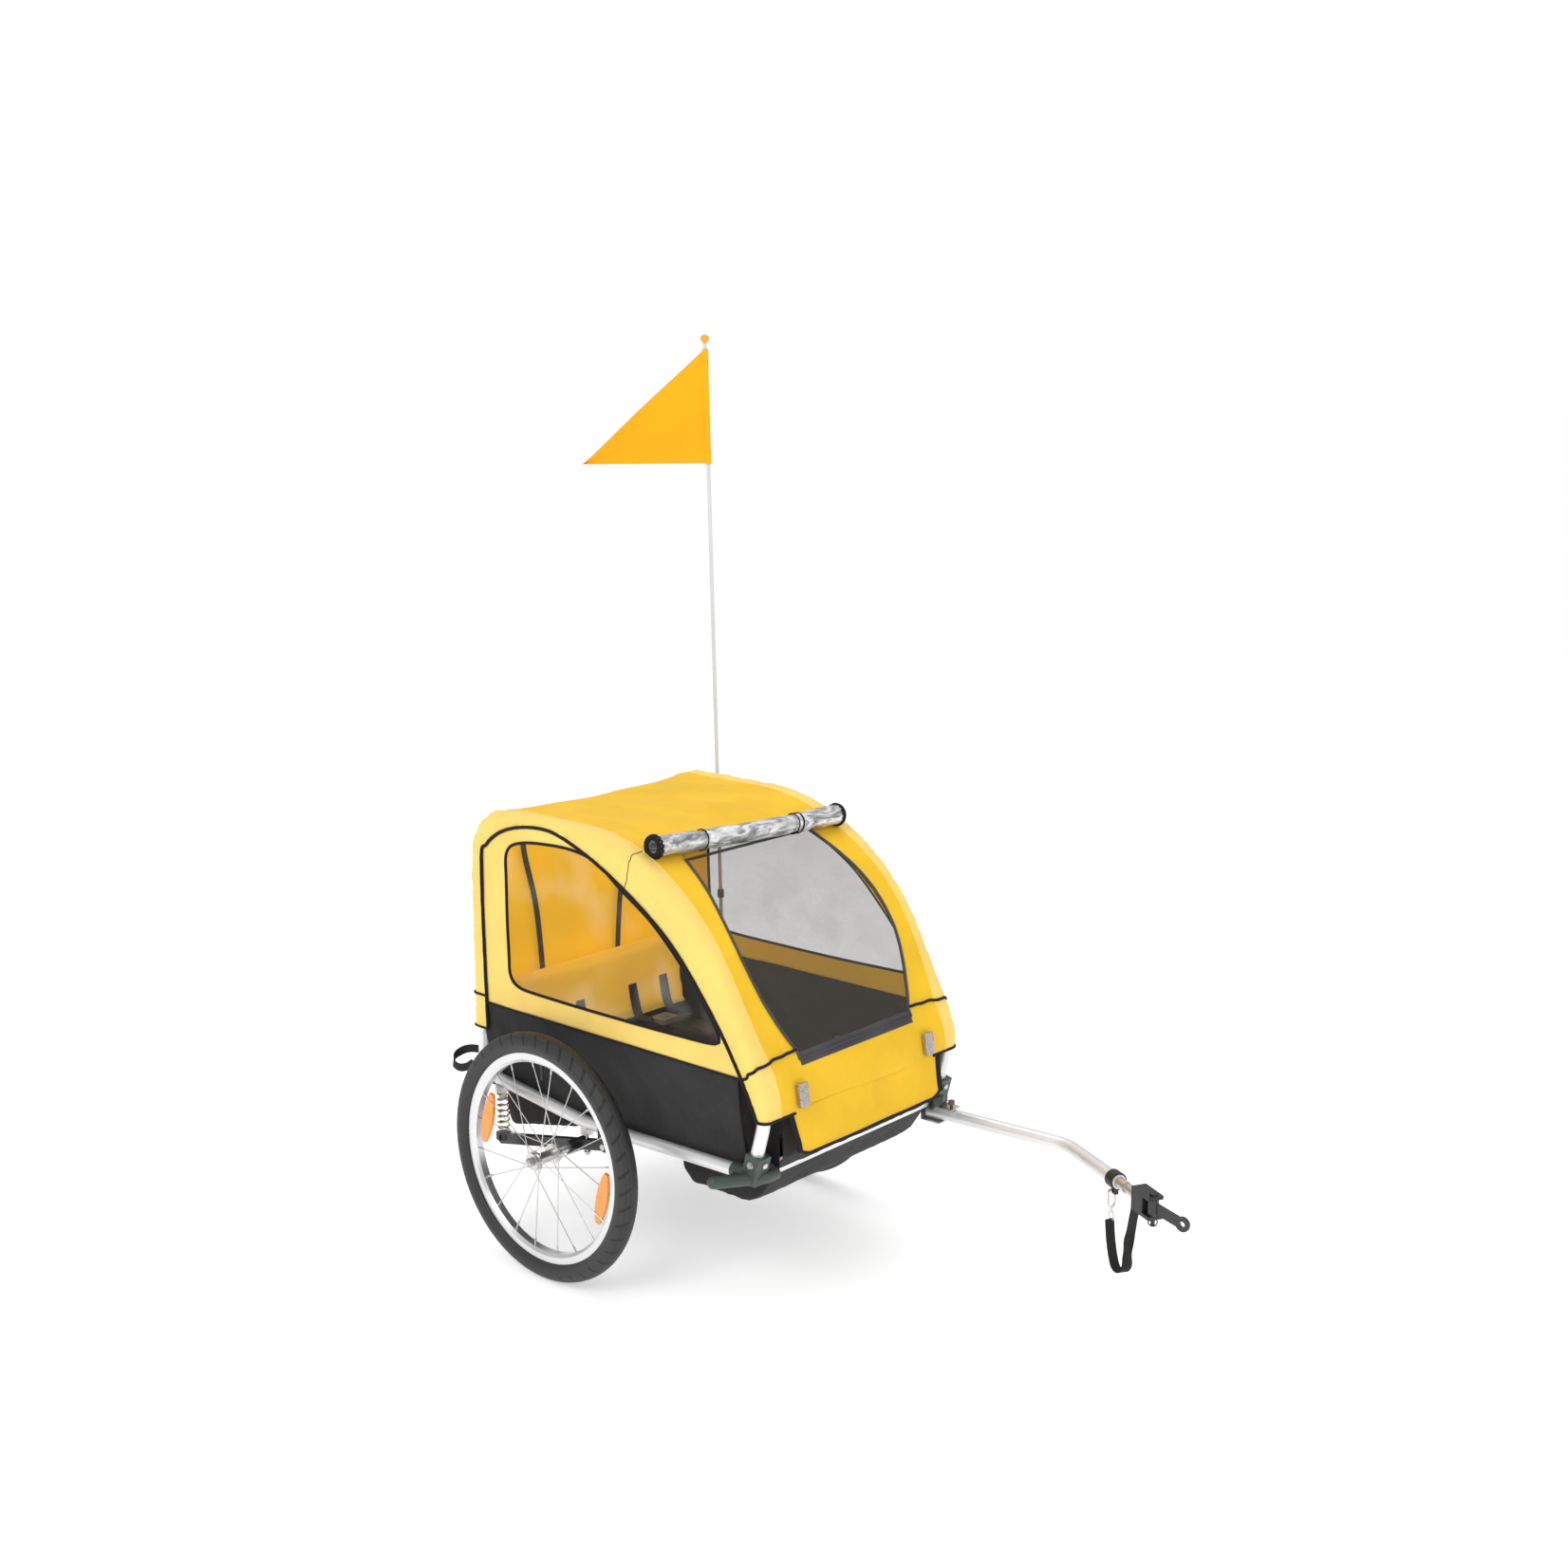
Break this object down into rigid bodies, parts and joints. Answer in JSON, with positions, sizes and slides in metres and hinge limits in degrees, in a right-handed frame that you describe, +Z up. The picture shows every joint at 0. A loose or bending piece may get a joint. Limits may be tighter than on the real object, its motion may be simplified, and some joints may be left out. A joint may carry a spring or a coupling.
{
  "type": "child bicycle trailer",
  "caption": "Two-wheeled covered child trailer for a bicycle, with sprung wheels, a fabric cabin, a side tow arm with axle hitch and a safety flag.",
  "frame": {"origin": "on the floor, under the middle of the whole trailer's length and midway between the wheels", "axes": "+X forwards to the bicycle, +Y to the trailer's left, +Z up"},
  "size_m": [1.6728, 0.812, 1.8089],
  "materials": {
    "frame_silver": "satin",
    "corner_plastic": "matte",
    "steel_bright": "zinc plated",
    "steel_black": "satin black",
    "spring_steel": "bright",
    "white_plastic": "gloss",
    "tyre_rubber": "matte",
    "tube_rubber": "matte",
    "rim_alloy": "bright",
    "amber": "clear amber",
    "yellow_cloth": "woven",
    "black_cloth": "woven",
    "inner_cloth": "woven",
    "seat_foam": "woven",
    "clear_film": "clear film",
    "mesh_cloth": "open mesh",
    "webbing": "woven webbing",
    "buckle_plastic": "matte",
    "clear_reflector": "clear",
    "flag_cloth": "plain",
    "pole_plastic": "gloss",
    "black_plastic": "matte",
    "brown_knob": "bronzed"
  },
  "bodies": {
    "frame": {"side_rail_right": "frame_silver", "side_rail_left": "frame_silver", "front_cross_tube": "frame_silver", "rear_cross_tube": "frame_silver", "hoop_right": "frame_silver", "hoop_left": "frame_silver", "roof_spreader": "frame_silver", "front_corner_right": "corner_plastic", "front_corner_left": "corner_plastic", "rear_corners": "corner_plastic", "frame_screws": "steel_bright", "suspension_brackets": "steel_black", "suspension_bolts": "steel_bright", "spring_caps": "white_plastic", "coil_spring_right": "spring_steel", "coil_spring_left": "spring_steel", "floor_tub": "black_cloth", "seat_base": "seat_foam", "seat_back": "inner_cloth", "harness_straps": "webbing", "harness_buckles": "buckle_plastic", "canopy_roof": "yellow_cloth", "canopy_side_right": "yellow_cloth", "canopy_side_left": "yellow_cloth", "side_windows": "clear_film", "insect_mesh": "mesh_cloth", "front_flap": "yellow_cloth", "rain_cover_roll": "clear_film", "front_reflectors": "clear_reflector", "rear_loop": "webbing", "flag_holder": "black_plastic", "arm_bracket": "steel_bright"},
    "suspension_arm_right": {"swing_arm_right": "steel_black", "wheel_axle_right": "steel_black"},
    "suspension_arm_left": {"swing_arm_left": "steel_black", "wheel_axle_left": "steel_black"},
    "wheel_right": {"tyre_right": "tyre_rubber", "inner_tube_right": "tube_rubber", "rim_right": "rim_alloy", "spokes_right": "steel_bright", "hub_right": "steel_bright", "hub_bearings_right": "steel_bright", "wheel_reflectors_right": "amber"},
    "wheel_left": {"tyre_left": "tyre_rubber", "inner_tube_left": "tube_rubber", "rim_left": "rim_alloy", "spokes_left": "steel_bright", "hub_left": "steel_bright", "hub_bearings_left": "steel_bright", "wheel_reflectors_left": "amber"},
    "towing_arm": {"tow_arm": "frame_silver", "arm_collar": "black_plastic", "hitch_ferrule": "steel_bright", "safety_strap": "webbing", "snap_hook": "steel_bright"},
    "arm_lock": {"arm_lock_knob": "brown_knob"},
    "hitch_knuckle": {"hitch_block": "black_plastic"},
    "hitch_eye": {"hitch_tongue": "black_plastic"},
    "flag_mast": {"flag_pole": "pole_plastic", "flag": "flag_cloth"}
  },
  "joints": [
    {"name": "suspension_right", "type": "hinge", "parent": "frame", "child": "suspension_arm_right", "pos_m": [-0.19083, -0.276, 0.27], "axis": [0, 1, 0], "range_deg": [0, 7], "stiffness_Nm_per_rad": 820, "springref_deg": -4.98, "deforming": ["coil_spring_right"]},
    {"name": "suspension_left", "type": "hinge", "parent": "frame", "child": "suspension_arm_left", "pos_m": [-0.19083, 0.276, 0.27], "axis": [0, 1, 0], "range_deg": [0, 7], "stiffness_Nm_per_rad": 820, "springref_deg": -4.98, "deforming": ["coil_spring_left"]},
    {"name": "wheel_spin_right", "type": "hinge", "parent": "suspension_arm_right", "child": "wheel_right", "pos_m": [-0.28083, -0.36, 0.2475], "axis": [0, 1, 0], "continuous": true},
    {"name": "wheel_spin_left", "type": "hinge", "parent": "suspension_arm_left", "child": "wheel_left", "pos_m": [-0.28083, 0.36, 0.2475], "axis": [0, 1, 0], "continuous": true},
    {"name": "arm_swing", "type": "hinge", "parent": "frame", "child": "towing_arm", "pos_m": [0.19117, 0.269, 0.278], "axis": [0, 0, -1], "range_deg": [0, 55]},
    {"name": "arm_lock_screw", "type": "slide", "parent": "frame", "child": "arm_lock", "axis": [0, 0, 1], "range_m": [0, 0.006]},
    {"name": "hitch_roll", "type": "hinge", "parent": "towing_arm", "child": "hitch_knuckle", "pos_m": [0.72001, 0.16786, 0.278], "axis": [0.8829, -0.4695, 0], "range_deg": [-90, 90]},
    {"name": "hitch_yaw", "type": "hinge", "parent": "hitch_knuckle", "child": "hitch_eye", "pos_m": [0.76239, 0.14533, 0.278], "axis": [0, 0, 1], "range_deg": [-35, 35]},
    {"name": "flag_pull", "type": "slide", "parent": "frame", "child": "flag_mast", "axis": [-0.0297, 0, 0.9996], "range_m": [0, 0.25]}
  ]
}
